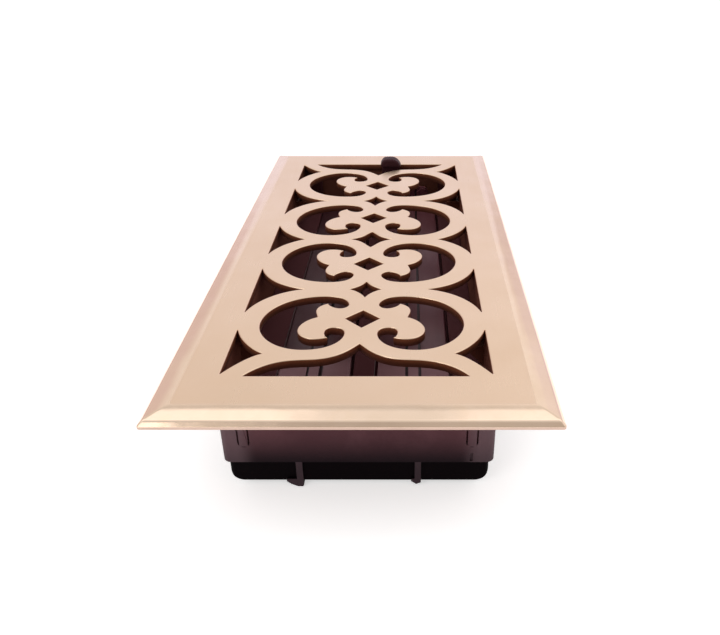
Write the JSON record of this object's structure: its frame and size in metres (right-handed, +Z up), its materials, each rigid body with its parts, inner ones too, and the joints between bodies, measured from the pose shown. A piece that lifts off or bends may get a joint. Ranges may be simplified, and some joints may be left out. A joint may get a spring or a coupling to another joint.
{
  "type": "floor register",
  "caption": "Rectangular floor register with a pierced scrollwork face plate over a shallow damper box, two lengthwise blades and a thumb lever.",
  "frame": {"origin": "centre of the face plate's underside, in the floor plane, on the centre of the duct opening", "axes": "+X across the register, +Y along it towards the thumb lever, +Z up into the room"},
  "size_m": [0.1366, 0.289, 0.0523],
  "materials": {
    "brass": "polished cast brass, lightly brushed flat face",
    "casing_plastic": "dark brown moulded plastic, fine satin grain",
    "blade_plastic": "dark brown moulded plastic, satin",
    "lever_plastic": "dark brown plastic, worn glossy",
    "steel": "zinc plated"
  },
  "bodies": {
    "casing": {"faceplate": "brass", "damper_housing": "casing_plastic", "bottom_frame": "casing_plastic", "plate_screws": "steel"},
    "left_blade": {"blade_left": "blade_plastic", "link_clip_left": "steel"},
    "right_blade": {"blade_right": "blade_plastic", "link_clip_right": "steel"},
    "link": {"link_bar": "blade_plastic", "thumb_lever": "lever_plastic"}
  },
  "joints": [
    {"name": "left_blade_turn", "type": "hinge", "parent": "casing", "child": "left_blade", "pos_m": [-0.02, 0, -0.02], "axis": [0, -1, 0], "range_deg": [0, 90]},
    {"name": "right_blade_turn", "type": "hinge", "parent": "casing", "child": "right_blade", "pos_m": [0.02, 0, -0.02], "axis": [0, -1, 0], "range_deg": [0, 90]},
    {"name": "link_swing", "type": "hinge", "parent": "left_blade", "child": "link", "pos_m": [-0.01293, 0.116, -0.01293], "axis": [0, -1, 0], "range_deg": [-90, 0]}
  ],
  "couplings": [
    {"joint": "right_blade_turn", "follows": "left_blade_turn", "ratio": 1},
    {"joint": "link_swing", "follows": "left_blade_turn", "ratio": -1}
  ]
}
